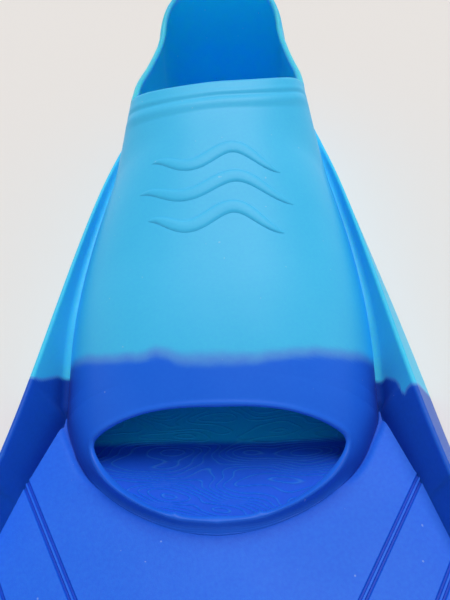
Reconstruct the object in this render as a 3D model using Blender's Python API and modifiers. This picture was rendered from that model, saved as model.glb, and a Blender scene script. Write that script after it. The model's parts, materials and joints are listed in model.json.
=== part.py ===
"""Full-foot swim fin with a short flexible blade.

Lengths in this file are millimetres and are scaled to metres when a mesh is
made.  +Z is up, +Y runs to the heel, -Y to the blade tip, X is across.  The
origin is under the middle of the fin, on the surface that the fin lies on.
"""
import bpy
import bmesh
import math
from mathutils import Vector

# ---------------------------------------------------------------- dimensions
MM = 0.001
GAP = 0.3                 # clearance between neighbouring regions
PANEL_GAP = 0.5           # clearance between the blade panels and the rails
WALL = 3.2                # pocket wall thickness
SOLE_TOP = 5.3            # footbed surface under the foot
HALF_LENGTH = 195.0       # heel at +195, blade tip at -195
SPLIT_UPPER = -27.0       # light and dark rubber meet on the upper here
SPLIT_RAIL = -24.0        # ... and on the rails here
SPLIT_SOLE = -38.0        # ... and on the footbed here
APEX_Y = -31.0            # the blade panel starts here beside the pocket
TOE_FRONT_Y = -70.8       # foremost point of the pocket
TOE_HALF_W = 54.0         # half width of the toe box
HEEL_CAP_Y = 160.0        # the heel starts to round in here
# toe opening from above, from its side corner round to the middle
MOUTH_ROOF = [(39.5, -44.7), (39.1, -43.6), (37.4, -42.9), (33, -42.1), (28, -41.5), (20, -40.9), (10, -40.6), (0, -40.5)]
MOUTH_LIP = [(39.5, -44.7), (38.9, -46.4), (36.7, -49.6), (33.2, -53.2), (27, -57.9), (19.2, -62.0), (9.6, -65.1), (0, -66.0)]
COLLAR_Y = 82.0           # top of the instep at the ankle opening
COLLAR_SWEEP = 12.0       # the collar edge falls back this far at the sides
BAND_LEN = 14.0           # raised band round the collar
BAND_PROUD = 0.9
RIM_R = 2.6               # bead round the ankle opening
ROOT_HINGE = (-98.0, 5.2)     # Y, Z of the blade's first flex line
TIP_HINGE = (-148.0, 4.1)     # Y, Z of the second
ROOT_SLOPE = math.tan(math.radians(11.5))
TIP_SLOPE = math.tan(math.radians(14.0))
TIP_HALF_W = 97.5

LIGHT = (0.08, 0.50, 0.87)
DARK = (0.030, 0.115, 0.74)


def smooth(*knots):
    """Monotone cubic through (y, value) knots, flat outside them."""
    xs = [k[0] for k in knots]
    vs = [k[1] for k in knots]
    n = len(xs)
    d = [(vs[i + 1] - vs[i]) / (xs[i + 1] - xs[i]) for i in range(n - 1)]
    m = [d[0]]
    for i in range(1, n - 1):
        a, b = d[i - 1], d[i]
        m.append(0.0 if a * b <= 0 else 2 * a * b / (a + b))
    m.append(d[-1])

    def f(x):
        if x <= xs[0]:
            return vs[0]
        if x >= xs[-1]:
            return vs[-1]
        i = max(j for j in range(n - 1) if xs[j] <= x)
        h = xs[i + 1] - xs[i]
        t = (x - xs[i]) / h
        return ((1 + 2 * t) * (1 - t) ** 2 * vs[i] + t * (1 - t) ** 2 * h * m[i]
                + t * t * (3 - 2 * t) * vs[i + 1] + t * t * (t - 1) * h * m[i + 1])
    return f


# heights and half widths along the fin
upper_z = smooth((-70.8, 8.3), (-65.7, 10.4), (-58, 15.4), (-50, 21.2), (-40.5, 28), (-27, 36),
                 (-10, 43.5), (10, 51), (35, 60), (60, 69), (82, 77), (100, 83))
valley_z = smooth((-31, 8), (-17, 15.8), (0, 24.8), (24, 32.6), (60, 41.3), (83, 45.5), (94, 47), (200, 47))
side_w = smooth((-31, 54), (-15, 54), (0, 53.3), (24, 51), (55, 46), (83, 40.6), (94, 39.3), (110, 38.0),
                (131, 36.2), (151, 34.6), (160, 34.0))
rim_w = smooth((94, 37.0), (110, 36.2), (124, 34.8), (141, 32.8), (160, 30.6))
rim_z = smooth((94, 67), (110, 65.3), (130, 64.2), (150, 65), (165, 68.5), (180, 75), (192, 80))
ridge_x = smooth((-195, 94.9), (-172, 94.6), (-140, 85.2), (-90, 73), (-71, 69), (-45, 64.1), (-25, 60.9), (0, 57),
                 (24, 53.2), (55, 48.2), (85, 43.1), (103, 40.8), (130, 38.3), (162, 35.6))
ridge_z = smooth((-195, 6.0), (-185, 6.4), (-140, 10.5), (-90, 16.5), (-45, 23.9), (85, 46.7), (103, 46.0),
                 (130, 36), (150, 20), (162, 9))
base_x = smooth((-195, TIP_HALF_W), (-174, 97.5), (-140, 91.2), (-90, 82.2), (-38, 76.1), (-1, 73), (59, 66.8),
                (85, 62), (103, 57.5), (130, 48), (150, 41), (162, 37.5))
panel_x = smooth((-195, 92.6), (-174, 92.2), (-140, 82.6), (-100, 72.3), (-71, 65.4), (-55, 61.6), (-51.5, 60.4), (-31, 54))
panel_top = smooth((-195, 4.6), (-148, 6.0), (-100, 7.6), (-85, 8.0), (-31, 8.0))
panel_bot = smooth((-195, 1.8), (-148, 2.2), (-100, 2.5))


def pocket_w(y):
    """Half width of the pocket's outline on the blade and sole."""
    if y < APEX_Y:
        u = min(1.0, (APEX_Y - y) / (APEX_Y - TOE_FRONT_Y))
        return TOE_HALF_W * (1 - u ** 1.8) ** (1 / 1.8)
    if y > HEEL_CAP_Y:
        u = min(1.0, (y - HEEL_CAP_Y) / (HALF_LENGTH - HEEL_CAP_Y))
        return side_w(HEEL_CAP_Y) * (1 - u ** 2.3) ** (1 / 2.3)
    return side_w(y)


def section(y):
    """Exponents of the upper's cross section: flat on top with sides that
    lean in, squarer towards the collar."""
    t = min(1.0, max(0.0, (y - 55) / 37))
    k = t * t * (3 - 2 * t)
    return 2.6 + 0.4 * k, 1.3 + 1.7 * k


def arch_point(y, a):
    """Point of the upper at angle a, 0 at the right valley, 90 at the top."""
    p, q = section(y)
    c, s = math.cos(a), max(0.0, math.sin(a))
    x = pocket_w(y) * math.copysign(abs(c) ** (2 / p), c)
    z = valley_z(y) + (upper_z(y) - valley_z(y)) * s ** (2 / q)
    return x, y, z


# ------------------------------------------------------------------- helpers
for old in list(bpy.data.objects):
    bpy.data.objects.remove(old, do_unlink=True)

parts = bpy.data.collections.new("swim_fin")
bpy.context.scene.collection.children.link(parts)
joints = bpy.data.collections.new("joint_axes")
bpy.context.scene.collection.children.link(joints)


def rubber(name, colour, roughness=0.5):
    m = bpy.data.materials.new(name)
    m.use_nodes = True
    p = m.node_tree.nodes["Principled BSDF"]
    p.inputs["Base Color"].default_value = (*colour, 1)
    p.inputs["Roughness"].default_value = roughness
    p.inputs["Metallic"].default_value = 0.0
    return m


def empty(name, y, z):
    e = bpy.data.objects.new(name, None)
    e.empty_display_size = 0.02
    e.location = (0, y * MM, z * MM)
    e.hide_render = True
    joints.objects.link(e)
    return e


pocket_root = empty("foot_pocket_origin", 0.0, 0.0)
root_axis = empty("root_flex_axis", *ROOT_HINGE)
tip_axis = empty("tip_flex_axis", *TIP_HINGE)
tip_axis.parent = root_axis
tip_axis.location = (0, (TIP_HINGE[0] - ROOT_HINGE[0]) * MM, (TIP_HINGE[1] - ROOT_HINGE[1]) * MM)
AT = {"pocket": (pocket_root, (0, 0)), "mid": (root_axis, ROOT_HINGE), "tip": (tip_axis, TIP_HINGE)}


def place(name, verts, faces, body, colour, smooth_angle=40, merge=0.02):
    """A named object from millimetre vertices, its origin on its body's axis."""
    parent, (oy, oz) = AT[body]
    bm = bmesh.new()
    vs = [bm.verts.new((x * MM, (y - oy) * MM, (z - oz) * MM)) for x, y, z in verts]
    for f in faces:
        try:
            bm.faces.new([vs[i] for i in f])
        except ValueError:
            pass
    bmesh.ops.remove_doubles(bm, verts=bm.verts, dist=merge * MM)
    bmesh.ops.recalc_face_normals(bm, faces=bm.faces)
    me = bpy.data.meshes.new(name)
    bm.to_mesh(me)
    bm.free()
    me.shade_smooth()
    me.set_sharp_from_angle(angle=math.radians(smooth_angle))
    ob = bpy.data.objects.new(name, me)
    ob.parent = parent
    me.materials.append(rubber(name + "_rubber", colour))
    parts.objects.link(ob)
    return ob


def loft(rings, flip=False):
    """Faces of a closed loft through equal rings, with flat caps."""
    n = len(rings[0])
    verts = [p for r in rings for p in r]
    faces = []
    for i in range(len(rings) - 1):
        for j in range(n):
            k = (j + 1) % n
            faces.append((i * n + j, i * n + k, (i + 1) * n + k, (i + 1) * n + j))
    faces.append(tuple(range(n - 1, -1, -1)))
    faces.append(tuple((len(rings) - 1) * n + j for j in range(n)))
    return verts, faces


def sheet(grid, wrap=False):
    """Faces of an open surface through the rows of a grid."""
    n = len(grid[0])
    verts = [p for r in grid for p in r]
    faces = []
    for i in range(len(grid) - 1):
        for j in range(n if wrap else n - 1):
            k = (j + 1) % n
            faces.append((i * n + j, i * n + k, (i + 1) * n + k, (i + 1) * n + j))
    return verts, faces


def skin(name, grid, body, colour, thickness, wrap=False):
    """A wall: an open outer surface thickened inward by Solidify."""
    verts, faces = sheet(grid, wrap)
    parent, (oy, oz) = AT[body]
    me = bpy.data.meshes.new(name)
    me.from_pydata([(x * MM, (y - oy) * MM, (z - oz) * MM) for x, y, z in verts], [], faces)
    me.validate()
    bm = bmesh.new()
    bm.from_mesh(me)
    bmesh.ops.remove_doubles(bm, verts=bm.verts, dist=0.02 * MM)
    # outward is away from the inside of the pocket
    bm.normal_update()
    vote = sum(f.normal.dot(f.calc_center_median() - _inside(f.calc_center_median())) * f.calc_area()
               for f in bm.faces)
    if vote < 0:
        bmesh.ops.reverse_faces(bm, faces=bm.faces)
    bm.to_mesh(me)
    bm.free()
    me.shade_smooth()
    me.set_sharp_from_angle(angle=math.radians(40))
    ob = bpy.data.objects.new(name, me)
    ob.parent = parent
    me.materials.append(rubber(name + "_rubber", colour))
    parts.objects.link(ob)
    mod = ob.modifiers.new("wall", "SOLIDIFY")
    mod.thickness = thickness * MM
    mod.offset = -1.0
    mod.use_even_offset = True
    mod.use_rim = True
    return ob


def _inside(p):
    """A point on the middle line of the foot space, level with p."""
    y = min(0.155, max(-0.045, p.y))
    c = p.copy()
    c.x, c.y, c.z = 0.0, y, 0.016
    return c


def plate(name, outline, z0, z1, body, colour):
    """A flat outline with thickness, from a filled 2D curve."""
    parent, (oy, oz) = AT[body]
    cu = bpy.data.curves.new(name + "_outline", "CURVE")
    cu.dimensions = "2D"
    cu.fill_mode = "BOTH"
    cu.extrude = (z1 - z0) / 2 * MM
    sp = cu.splines.new("POLY")
    sp.points.add(len(outline) - 1)
    for p, (x, y) in zip(sp.points, outline):
        p.co = (x * MM, (y - oy) * MM, 0, 1)
    sp.use_cyclic_u = True
    tmp = bpy.data.objects.new(name + "_tmp", cu)
    bpy.context.scene.collection.objects.link(tmp)
    me = bpy.data.meshes.new_from_object(tmp.evaluated_get(bpy.context.evaluated_depsgraph_get()))
    bpy.data.objects.remove(tmp)
    me.name = name
    for v in me.vertices:
        v.co.z += ((z0 + z1) / 2 - oz) * MM
    bm = bmesh.new()
    bm.from_mesh(me)
    bmesh.ops.remove_doubles(bm, verts=bm.verts, dist=0.02 * MM)
    bmesh.ops.recalc_face_normals(bm, faces=bm.faces)
    bm.to_mesh(me)
    bm.free()
    me.materials.clear()
    me.materials.append(rubber(name + "_rubber", colour))
    ob = bpy.data.objects.new(name, me)
    ob.parent = parent
    parts.objects.link(ob)
    return ob


def tube(name, path, radius, body, colour, resolution=3):
    parent, (oy, oz) = AT[body]
    cu = bpy.data.curves.new(name, "CURVE")
    cu.dimensions = "3D"
    cu.bevel_depth = radius * MM
    cu.bevel_resolution = resolution
    cu.use_fill_caps = True
    sp = cu.splines.new("POLY")
    sp.points.add(len(path) - 1)
    for p, (x, y, z) in zip(sp.points, path):
        p.co = (x * MM, (y - oy) * MM, (z - oz) * MM, 1)
    cu.materials.append(rubber(name + "_rubber", colour))
    ob = bpy.data.objects.new(name, cu)
    ob.parent = parent
    parts.objects.link(ob)
    return ob


def spread(a, b, n):
    return [a + (b - a) * i / (n - 1) for i in range(n)]


# --------------------------------------------------------------- foot pocket
ANGLES = [math.pi * t for t in spread(0.0, 1.0, 21)]


def arch_row(y, base=SOLE_TOP + GAP, proud=0.0, sweep=0.0):
    """The upper's outer line across the fin, from sole to sole.  sweep sets
    the row back towards the heel as it comes down the sides."""
    row = []
    for a in ANGLES:
        yy = y + sweep * COLLAR_SWEEP * (1 - math.sin(a) ** 1.5)
        x, _, z = arch_point(yy, a)
        zc = valley_z(yy)
        k = 1 + proud / 40.0 * min(1.0, max(0.0, (z - zc - 1.0) / 8.0))
        row.append((x * k, yy, zc + (z - zc) * k if z > zc else z))
    ys = y + sweep * COLLAR_SWEEP
    w = row[0][0]
    for z in (valley_z(ys) * 0.5 + base * 0.5, base):
        row.insert(0, (w, ys, z))
        row.append((-w, ys, z))
    return row


skin("instep_upper",
     [arch_row(y, sweep=max(0.0, (y - 20) / (COLLAR_Y - BAND_LEN - 20)) ** 1.5)
      for y in spread(SPLIT_UPPER + GAP, COLLAR_Y - BAND_LEN - GAP, 9)],
     "pocket", LIGHT, WALL)

skin("collar_band",
     [arch_row(COLLAR_Y - BAND_LEN + d, sweep=1.0, proud=p)
      for d, p in ((0, 0.2), (1.2, BAND_PROUD), (4.4, BAND_PROUD), (5.6, 0.35), (7.0, BAND_PROUD),
                   (12.5, BAND_PROUD), (BAND_LEN, 0.4))],
     "pocket", LIGHT, WALL)


def along(points):
    """x and y of a line of points, against the share of its length."""
    d = [0.0]
    for (xa, ya), (xb, yb) in zip(points, points[1:]):
        d.append(d[-1] + math.hypot(xb - xa, yb - ya))
    return (smooth(*[(d[i] / d[-1], points[i][0]) for i in range(len(d))]),
            smooth(*[(d[i] / d[-1], points[i][1]) for i in range(len(d))]))


ROOF_X, ROOF_Y = along(MOUTH_ROOF)
LIP_X, LIP_Y = along(MOUTH_LIP)


def mouth(t):
    """Edge of the toe opening; t in turns, 0 at the right corner."""
    top = t < 0.5
    u = t / 0.5 if top else (t - 0.5) / 0.5
    h = 1 - abs(2 * u - 1)
    right = (u < 0.5) == top
    x = (ROOF_X(h) if top else LIP_X(h)) * (1 if right else -1)
    y = ROOF_Y(h) if top else LIP_Y(h)
    p, q = section(y)
    f = max(0.0, 1 - (abs(x) / pocket_w(y)) ** p) ** (1 / q)
    return x, y, 8.0 + (upper_z(y) - 8.0) * f


def on_dome(point):
    """Move a point across the fin until it lies on the toe box's surface."""
    x, y, z = point
    w, zb, zt = max(0.01, pocket_w(y)), valley_z(y), upper_z(y)
    if z <= zb:
        return math.copysign(w, x) if abs(x) > 1e-6 else x, y, z
    p, q = section(y)
    lo, hi = 0.001, 8.0
    for _ in range(50):
        r = math.sqrt(lo * hi)
        if (abs(x) / (w * r)) ** p + ((z - zb) / ((zt - zb) * r)) ** q > 1:
            lo = r
        else:
            hi = r
    return x / r, y, zb + (z - zb) / r


def toe_outline(t):
    """Outer boundary of the toe cap: over the arch, then round the front."""
    base = SOLE_TOP + GAP
    y0 = SPLIT_UPPER - GAP
    if 0 <= t <= 0.5:
        u = t / 0.5
        if u < 0.1 or u > 0.9:
            k = (u if u < 0.5 else 1 - u) / 0.1
            x = pocket_w(y0) * (1 if u < 0.5 else -1)
            return x, y0, base + (valley_z(y0) - base) * k
        return arch_point(y0, math.pi * (u - 0.1) / 0.8)
    u = (t - 0.5) / 0.5
    a = math.pi * (1 - abs(2 * u - 1)) / 2          # 0 at the sides, 90 at the front
    y = y0 + (TOE_FRONT_Y - y0) * math.sin(a)
    w = pocket_w(y) if u not in (0.5,) else 0.0
    return (-w if u < 0.5 else w), y, base


TOE_N = 40
toe_rows = []
for r in range(7):
    s = (r / 6) ** 0.9
    row = []
    for i in range(TOE_N):
        t = i / TOE_N
        m, o = mouth(t), toe_outline(t)
        if r == 0:
            row.append(m)
        elif r == 6:
            row.append(o)
        else:
            q = [m[k] + (o[k] - m[k]) * s for k in range(3)]
            # keep full: bow the row up and out before it is laid on the dome
            row.append(on_dome((q[0], q[1], q[2] + 2.0 * s * (1 - s))))
    toe_rows.append(row)


def inner_rows(rows, thickness, floor):
    """The rows moved inward by the wall thickness, held above the sole."""
    out = []
    n = len(rows[0])
    for r, row in enumerate(rows):
        new = []
        for i, p in enumerate(row):
            a, b = Vector(row[i - 1]), Vector(row[(i + 1) % n])
            c, d = Vector(rows[max(0, r - 1)][i]), Vector(rows[min(len(rows) - 1, r + 1)][i])
            nrm = (b - a).cross(d - c).normalized()
            if nrm.dot(Vector(p) - Vector((0, max(-45, min(0, p[1])), 4))) < 0:
                nrm = -nrm
            if r == len(rows) - 1:
                if p[2] < 9.0:
                    nrm.z = 0.0
                else:
                    nrm.y = 0.0
                nrm.normalize()
            q = Vector(p) - nrm * thickness
            new.append((q.x, q.y, max(floor, q.z)))
        out.append(new)
    return out


toe_in = inner_rows(toe_rows, WALL - 0.4, SOLE_TOP + GAP)
verts, faces = sheet(toe_rows + toe_in[::-1], wrap=True)
n_rows = 2 * len(toe_rows)
faces += [((n_rows - 1) * TOE_N + i, (n_rows - 1) * TOE_N + (i + 1) % TOE_N, (i + 1) % TOE_N, i)
          for i in range(TOE_N)]
place("toe_cap", verts, faces, "pocket", DARK)


# heel cup: walls from the collar round the heel
def heel_point(u, h, z_low=SOLE_TOP + GAP, drop=0.0):
    """u from -1 (left) through 0 (back) to 1 (right); h from sole to rim."""
    side = 1 if u >= 0 else -1
    au = abs(u)
    if au > 0.5:
        y = HEEL_CAP_Y - (au - 0.5) / 0.5 * (HEEL_CAP_Y - (COLLAR_Y + COLLAR_SWEEP + GAP))
        wb, wr = side_w(y), rim_w(y)
        zr = rim_z(y) - drop
        z = z_low + (zr - z_low) * h
        f = min(1.0, max(0.0, (z - 40) / (zr - 40))) ** 3
        return side * (wb + (wr - wb) * f), y, z
    a = au / 0.5 * math.pi / 2
    f = h ** 2.2
    half = side_w(HEEL_CAP_Y) + (rim_w(HEEL_CAP_Y) - side_w(HEEL_CAP_Y)) * f
    back = 192.5 + 2.5 * math.sin(math.pi * min(1.0, h / 0.62)) - 3.0 * f
    n = 2.3 + 0.4 * f
    x = half * math.sin(a) ** (2 / n)
    y = HEEL_CAP_Y + (back - HEEL_CAP_Y) * math.cos(a) ** (2 / n)
    zr = rim_z(y) - drop
    return side * x, y, z_low + (zr - z_low) * h


HEEL_U = spread(1.0, 0.5, 6) + spread(0.5, 0.0, 8)[1:]
HEEL_U = HEEL_U + [-u for u in HEEL_U[-2::-1]]
skin("heel_cup", [[heel_point(u, h, drop=2 * RIM_R + GAP + 0.2) for u in HEEL_U]
                  for h in spread(0.0, 1.0, 8)],
     "pocket", LIGHT, WALL)

rim_path = []
for u in HEEL_U:
    x, y, z = heel_point(u, 1.0)
    k = math.hypot(x, max(0.0, y - 150)) or 1.0
    rim_path.append((x - x / k * WALL / 2, y - max(0.0, y - 150) / k * WALL / 2, z - RIM_R))
# stand the bead's ends clear of the collar band
rim_path[0] = (rim_path[0][0], rim_path[0][1] + 0.6, rim_path[0][2])
rim_path[-1] = (rim_path[-1][0], rim_path[-1][1] + 0.6, rim_path[-1][2])
tube("ankle_rim", rim_path, RIM_R, "pocket", LIGHT)


# footbed: the sole slab inside the rails, split where the two rubbers meet
def outline(y_from, y_to, steps, grow=0.0):
    return [(pocket_w(y) + grow, y) for y in spread(y_from, y_to, steps)]


rear = outline(SPLIT_SOLE + GAP / 2, HEEL_CAP_Y, 12)
rear += [(side_w(HEEL_CAP_Y) * math.cos(a) ** (2 / 2.3),
          HEEL_CAP_Y + (HALF_LENGTH - HEEL_CAP_Y) * math.sin(a) ** (2 / 2.3))
         for a in spread(0.0, math.pi / 2, 9)[1:]]
rear += [(-x, y) for x, y in rear[-2::-1]]
plate("footbed_rear", rear, 0.0, SOLE_TOP, "pocket", LIGHT)

front = [(pocket_w(y), y) for y in
         [SPLIT_SOLE - GAP / 2 + (TOE_FRONT_Y - SPLIT_SOLE) * math.sin(a) for a in spread(0.0, math.pi / 2, 13)[:-1]]]
front += [(0.0, TOE_FRONT_Y)] + [(-x, y) for x, y in front[::-1]]
plate("footbed_front", front, 0.0, SOLE_TOP, "pocket", DARK)

# blade panel around the toe, up to the first flex line
ahead = [(panel_x(y) - PANEL_GAP, y) for y in (APEX_Y - 2.5, -38, -45, -51.5, -60, -71, -82, ROOT_HINGE[0] + 1.0)]
hug = []
for y in [APEX_Y - 2.5 + (TOE_FRONT_Y - GAP - APEX_Y + 2.5) * math.sin(a) for a in spread(0.0, math.pi / 2, 15)[:-1]]:
    hug.append((pocket_w(min(APEX_Y, y + 0.25)) + GAP, y))
ring = ahead + [(-x, y) for x, y in ahead[::-1]]
ring += [(-x, y) for x, y in hug] + [(0.0, TOE_FRONT_Y - GAP)] + hug[::-1]
plate("blade_panel_root", ring, panel_bot(-100), panel_top(-85), "pocket", DARK)


# ------------------------------------------------------------------ the rails
def rail_ring(y, side, cut=None):
    """Section of a side rail.  cut = (hinge y, hinge z, slope, sign) ends the
    rail on a notch that opens away from the flex line."""
    xi = (panel_x(y) if y < APEX_Y else max(pocket_w(y), 0) + GAP)
    zi = (panel_top(y) if y < APEX_Y else valley_z(y))
    xr, zr, xo = ridge_x(y), ridge_z(y), base_x(y)
    zi = min(zi, zr - 0.6)
    h = min(1.6, (xr - xi) * 0.45)
    pts = [(xo, 0.0), (xo - 0.3, 1.2), (xr + h, zr - 0.9), (xr + 0.5 * h, zr), (xr - 0.5 * h, zr - 0.1),
           (xr - h, zr - 0.9), (xi, zi), (xi, 0.0)]
    out = []
    for x, z in pts:
        yy = y
        if cut:
            yy = cut[0] + cut[3] * (GAP + abs(z - cut[1]) * cut[2])
        out.append((side * x, yy, z))
    return out


def rail(name, ys, side, body, colour, cut_first=None, cut_last=None):
    rings = []
    for i, y in enumerate(ys):
        cut = cut_first if i == 0 else cut_last if i == len(ys) - 1 else None
        rings.append(rail_ring(y, side, cut))
    verts, faces = loft(rings)
    return place(name, verts, faces, body, colour)


root_cut = (ROOT_HINGE[0], ROOT_HINGE[1], ROOT_SLOPE)
tip_cut = (TIP_HINGE[0], TIP_HINGE[1], TIP_SLOPE)
for side, tag in ((-1, "left"), (1, "right")):
    rail("rail_rear_" + tag, spread(SPLIT_RAIL + GAP / 2, 162.0, 17), side, "pocket", LIGHT)
    rail("rail_front_" + tag, [SPLIT_RAIL - GAP / 2, APEX_Y, -38, -45, -51.5, -60, -71, -82, ROOT_HINGE[0] + 1], side,
         "pocket", DARK, cut_last=root_cut + (1,))
    rail("rail_mid_" + tag, [ROOT_HINGE[0] - 1, -108, -118, -128, -138, TIP_HINGE[0] + 1], side, "mid", DARK,
         cut_first=root_cut + (-1,), cut_last=tip_cut + (1,))
    rail("rail_tip_" + tag, [TIP_HINGE[0] - 1, -158, -165, -172.0], side, "tip", DARK, cut_first=tip_cut + (-1,))


# ------------------------------------------------------------ blade panels
def slab_ring(y):
    x = panel_x(y) - PANEL_GAP
    return [(-x, y, panel_bot(y)), (x, y, panel_bot(y)), (x, y, panel_top(y)), (-x, y, panel_top(y))]


verts, faces = loft([slab_ring(y) for y in (ROOT_HINGE[0] - 1.0, -108, -118, -128, -138, TIP_HINGE[0] + 1.0)])
place("blade_panel_middle", verts, faces, "mid", DARK)


def tip_line(x, inset=0.0):
    """Front edge of the blade: a shallow bow with rounded corners."""
    w = TIP_HALF_W - inset
    y = -HALF_LENGTH + inset + 8.0 * (x / TIP_HALF_W) ** 2
    r = 14.0 - inset
    over = max(0.0, abs(x) - (w - r))
    return y + r - math.sqrt(max(0.0, r * r - over * over))


cols = [math.sin(math.pi / 2 * t) for t in spread(-1.0, 1.0, 23)]
rows = []
for k in spread(0.0, 1.0, 5):
    row_t, row_b = [], []
    for c in cols:
        y0 = TIP_HINGE[0] - 1.0
        x1 = c * (TIP_HALF_W - 5.6)
        y1 = tip_line(x1, 5.0)
        x = c * (panel_x(y0) - PANEL_GAP) * (1 - k) + x1 * k
        y = y0 + (y1 - y0) * k
        x = max(-panel_x(y) + PANEL_GAP, min(panel_x(y) - PANEL_GAP, x))
        row_t.append((x, y, panel_top(y)))
        row_b.append((x, y, panel_bot(y)))
    rows.append(row_t + row_b[::-1])
verts, faces = loft(rows)
place("blade_panel_tip", verts, faces, "tip", DARK)

# thickened edge along the tip, rail to rail
edge = []
for t in spread(-1.0, 1.0, 31):
    a = t * math.pi / 2
    x = (TIP_HALF_W - 2.4) * math.copysign(abs(math.sin(a)) ** 0.55, a)
    edge.append((x, tip_line(x, 2.4)))
edge = [(-edge[-1][0], -172.6)] + edge + [(edge[-1][0], -172.6)]
rings = []
for i, (x, y) in enumerate(edge):
    a = edge[max(0, i - 1)]
    b = edge[min(len(edge) - 1, i + 1)]
    dx, dy = b[0] - a[0], b[1] - a[1]
    L = math.hypot(dx, dy)
    nx, ny = dy / L, -dx / L
    rings.append([(x + nx * w, y + ny * w, z) for w, z in
                  ((-2.2, 1.6), (-1.5, 0.9), (1.4, 0.9), (2.4, 2.0), (2.4, 4.6), (1.4, 5.8), (-1.5, 5.8), (-2.2, 5.0))])
verts, faces = loft(rings)
place("blade_tip_edge", verts, faces, "tip", DARK)
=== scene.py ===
import bpy
import bmesh
import json
import math
import numpy as np
from mathutils import Matrix, Vector

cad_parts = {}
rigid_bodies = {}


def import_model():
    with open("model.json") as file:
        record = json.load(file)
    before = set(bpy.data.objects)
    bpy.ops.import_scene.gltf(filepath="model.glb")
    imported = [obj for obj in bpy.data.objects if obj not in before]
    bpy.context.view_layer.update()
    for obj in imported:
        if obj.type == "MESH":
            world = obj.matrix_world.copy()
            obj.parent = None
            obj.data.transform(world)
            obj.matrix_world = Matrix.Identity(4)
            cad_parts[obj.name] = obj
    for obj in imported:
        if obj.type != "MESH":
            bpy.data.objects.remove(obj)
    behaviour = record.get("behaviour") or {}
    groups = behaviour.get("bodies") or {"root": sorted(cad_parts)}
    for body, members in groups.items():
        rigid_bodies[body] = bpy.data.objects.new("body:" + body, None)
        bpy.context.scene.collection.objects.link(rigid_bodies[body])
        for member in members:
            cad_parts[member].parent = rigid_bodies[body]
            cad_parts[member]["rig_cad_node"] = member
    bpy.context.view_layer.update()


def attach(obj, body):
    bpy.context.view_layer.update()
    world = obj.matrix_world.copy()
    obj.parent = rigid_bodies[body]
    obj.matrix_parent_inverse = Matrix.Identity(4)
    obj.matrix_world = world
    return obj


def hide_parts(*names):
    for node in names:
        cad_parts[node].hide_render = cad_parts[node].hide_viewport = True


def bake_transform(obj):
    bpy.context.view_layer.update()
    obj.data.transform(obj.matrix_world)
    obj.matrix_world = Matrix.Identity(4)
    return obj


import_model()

MM = 0.001

# ---------------------------------------------------------------------------
# Form.  Everything is in millimetres until a mesh is made: +Y is the heel,
# -Y the blade tip, X across, Z up.  The driving lines are those of the CAD.
# ---------------------------------------------------------------------------
SOLE_TOP = 5.3
WALL = 3.2
HALF_LENGTH = 195.0
APEX_Y = -31.0
TOE_FRONT_Y = -70.8
TOE_HALF_W = 54.0
HEEL_CAP_Y = 160.0
SPLIT_Y = -27.0
COLLAR_Y = 82.0
COLLAR_SWEEP = 12.0
TIP_HALF_W = 97.5
ROOT_BEND = (-73.0, -123.0)
TIP_BEND = (-123.0, -173.0)


def smooth(*knots):
    """Monotone cubic through knots; takes numbers or arrays."""
    xs = np.array([k[0] for k in knots], float)
    vs = np.array([k[1] for k in knots], float)
    d = np.diff(vs) / np.diff(xs)
    m = np.concatenate([[d[0]], np.where(d[:-1] * d[1:] <= 0, 0.0, 2 * d[:-1] * d[1:] / np.where(d[:-1] + d[1:] == 0, 1, d[:-1] + d[1:])), [d[-1]]])

    def f(x):
        x = np.clip(np.asarray(x, float), xs[0], xs[-1])
        i = np.clip(np.searchsorted(xs, x, side="right") - 1, 0, len(xs) - 2)
        h = xs[i + 1] - xs[i]
        t = (x - xs[i]) / h
        out = ((1 + 2 * t) * (1 - t) ** 2 * vs[i] + t * (1 - t) ** 2 * h * m[i]
               + t * t * (3 - 2 * t) * vs[i + 1] + t * t * (t - 1) * h * m[i + 1])
        return out if out.ndim else float(out)
    return f


def line(*knots):
    xs = [k[0] for k in knots]
    vs = [k[1] for k in knots]
    return lambda x: np.interp(x, xs, vs)


def step(a, b, x):
    t = np.clip((np.asarray(x, float) - a) / (b - a), 0, 1)
    return t * t * (3 - 2 * t)


upper_z = smooth((-70.8, 8.3), (-65.7, 10.4), (-58, 15.4), (-50, 21.2), (-40.5, 28), (-27, 36),
                 (-10, 43.5), (10, 51), (35, 60), (60, 69), (82, 77), (100, 83))
valley_z = smooth((-31, 8), (-17, 15.8), (0, 24.8), (24, 32.6), (60, 41.3), (83, 45.5), (94, 47), (200, 47))
side_w = smooth((-31, 54), (-15, 54), (0, 53.3), (24, 51), (55, 46), (83, 40.6), (94, 39.3), (110, 38.0),
                (131, 36.2), (151, 34.6), (160, 34.0))
rim_w = smooth((94, 37.0), (110, 36.2), (124, 34.8), (141, 32.8), (160, 30.6))
rim_z = smooth((94, 66.6), (110, 65.3), (130, 64.2), (150, 65), (165, 69), (180, 76.5), (192, 83))
ridge_x = smooth((-195, 94.9), (-172, 94.6), (-140, 85.2), (-90, 73), (-71, 69), (-45, 64.1), (-25, 60.9), (0, 57),
                 (24, 53.2), (55, 48.2), (85, 43.0), (103, 40.6), (130, 38.2), (162, 35.6))
ridge_z = smooth((-195, 6.0), (-185, 6.4), (-140, 10.5), (-90, 16.5), (-45, 23.9), (85, 46.7), (103, 46.0),
                 (130, 36), (150, 20), (162, 9))
base_x = smooth((-195, TIP_HALF_W), (-174, 97.5), (-140, 91.2), (-90, 82.2), (-38, 76.1), (-1, 73), (59, 66.8),
                (85, 62), (103, 57.5), (130, 48), (150, 41), (162, 37.5))
panel_x = line((-195, 92.6), (-174, 92.2), (-140, 82.6), (-100, 72.3), (-71, 65.3), (-55.2, 61.6), (-53.4, 61.4),
               (-51.5, 60.4), (-31, 54), (-28, 53.2))
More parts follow.
